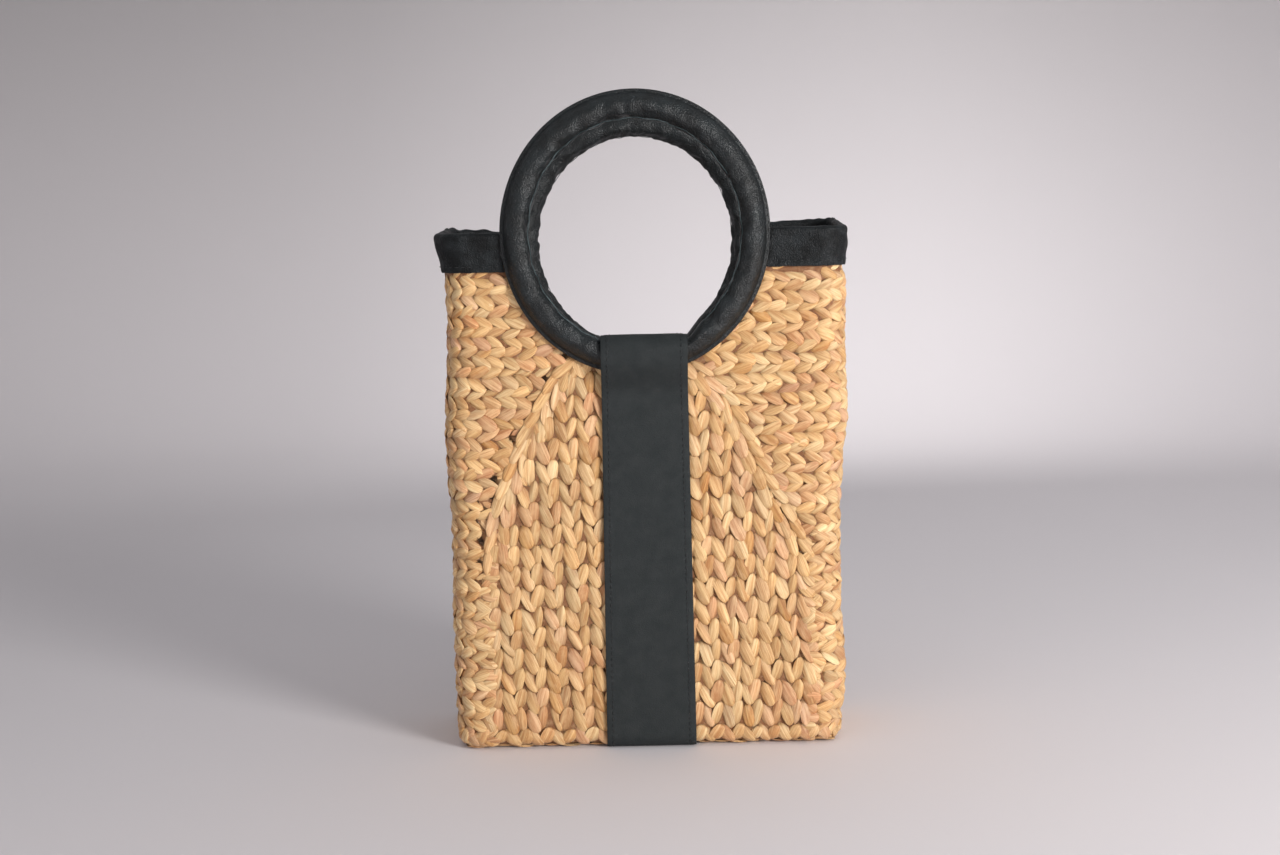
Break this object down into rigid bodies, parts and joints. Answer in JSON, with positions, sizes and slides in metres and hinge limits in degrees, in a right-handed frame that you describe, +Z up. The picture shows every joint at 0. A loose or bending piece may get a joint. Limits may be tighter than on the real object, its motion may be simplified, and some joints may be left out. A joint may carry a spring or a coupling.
{
  "type": "straw basket bag",
  "caption": "Tall open straw basket bag with padded leather ring handles sewn in its walls, leather rim bands and a leather strap that runs under the base.",
  "frame": {"origin": "on the ground under the middle of the bag's overall box, on the underside of the strap", "axes": "+Z up, from the base to the handles; +X towards the viewer's right of the front; +Y towards the back"},
  "size_m": [0.2634, 0.1216, 0.419],
  "materials": {
    "straw": "braided dried leaf, honey tan, slight sheen",
    "ring_leather": "soft black leather with a slight sheen, gathered",
    "band_leather": "soft black leather with a slight sheen",
    "strap_leather": "matte charcoal leather with a fine grain"
  },
  "bodies": {
    "root": {"basket": "straw", "rim_band_left": "band_leather", "rim_band_right": "band_leather", "handle_ring_front": "ring_leather", "handle_ring_back": "ring_leather", "centre_strap": "strap_leather"}
  },
  "joints": []
}
